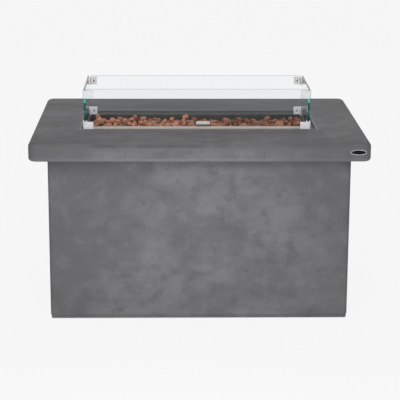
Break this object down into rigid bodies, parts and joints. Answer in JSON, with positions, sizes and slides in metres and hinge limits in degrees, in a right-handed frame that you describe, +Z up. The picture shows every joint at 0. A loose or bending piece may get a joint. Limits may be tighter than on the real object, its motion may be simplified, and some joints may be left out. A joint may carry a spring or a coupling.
{
  "type": "gas fire pit",
  "caption": "Rectangular concrete-look gas fire table with a lava rock burner, glass wind guard, access door and gas controls.",
  "frame": {"origin": "on the floor, in the middle of the table's footprint", "axes": "+X along the table's length, +Z up, the plain front faces -Y and the door and controls are at +Y"},
  "size_m": [1.12, 0.81, 0.754],
  "materials": {
    "concrete": "matt smooth concrete, softly mottled",
    "stainless": "satin stainless steel",
    "dark_steel": "dark powder coat",
    "black_metal": "satin black powder coat",
    "zinc": "bright zinc plate",
    "aluminium_tube": "bare aluminium",
    "brass": "machined brass",
    "copper": "bare copper",
    "black_plastic": "moulded black",
    "rubber_black": "moulded rubber",
    "lead_rubber": "silicone sleeve",
    "ceramic": "unglazed ceramic",
    "lava": "rough porous lava rock",
    "glass": "clear tempered glass with polished edges",
    "clip_metal": "satin silver"
  },
  "bodies": {
    "table": {"table_top": "concrete", "base_shell": "concrete", "foot_glides": "rubber_black", "floor_panel": "dark_steel", "top_brackets": "zinc", "burner_pan": "stainless", "burner_tube": "stainless", "burner_saddles": "stainless", "inlet_nut": "brass", "air_mixer": "zinc", "gas_orifice": "brass", "gas_line": "aluminium_tube", "gas_valve": "aluminium_tube", "gas_inlet": "brass", "control_panel": "stainless", "igniter_housing": "black_plastic", "igniter_battery": "copper", "igniter_bezel": "stainless", "igniter_lead": "lead_rubber", "igniter_electrode": "ceramic", "thermocouple": "copper", "thermocouple_lead": "copper", "sensor_bracket": "stainless", "sensor_hood": "stainless", "lava_rocks": "lava", "heat_shield": "zinc", "shield_spacers": "zinc", "tank_ring": "dark_steel", "door_magnet": "dark_steel", "hinge_leaves_fixed": "black_metal", "hinge_pins": "zinc"},
    "door": {"access_door": "concrete", "door_handle": "black_metal", "door_strike": "zinc", "hinge_leaves_door": "black_metal"},
    "guard": {"glass_front": "glass", "glass_back": "glass", "glass_left": "glass", "glass_right": "glass", "guard_clips_lower": "clip_metal", "guard_clips_upper": "clip_metal"},
    "plug": {"valve_plug": "brass"},
    "knob": {"control_knob": "black_plastic", "valve_stem": "zinc"},
    "button": {"igniter_button": "black_plastic"},
    "shutter": {"air_shutter": "zinc"}
  },
  "joints": [
    {"name": "door_hinge", "type": "hinge", "parent": "table", "child": "door", "pos_m": [-0.445, 0.35, 0.278], "axis": [0, 0, 1], "range_deg": [0, 110]},
    {"name": "guard_lift", "type": "slide", "parent": "table", "child": "guard", "axis": [0, 0, 1], "range_m": [0, 0.16]},
    {"name": "knob_turn", "type": "hinge", "parent": "table", "child": "plug", "pos_m": [0.182, 0.34, 0.44], "axis": [0, 1, 0], "range_deg": [0, 180]},
    {"name": "knob_press", "type": "slide", "parent": "plug", "child": "knob", "axis": [0, -1, 0], "range_m": [0, 0.003], "stiffness_N_per_m": 500, "springref_m": -0.004},
    {"name": "igniter_press", "type": "slide", "parent": "table", "child": "button", "axis": [0, -1, 0], "range_m": [0, 0.004], "stiffness_N_per_m": 500, "springref_m": -0.004},
    {"name": "shutter_turn", "type": "hinge", "parent": "table", "child": "shutter", "pos_m": [0.05592, -0.0025, 0.5], "axis": [0, 0, 1], "range_deg": [0, 60]}
  ]
}
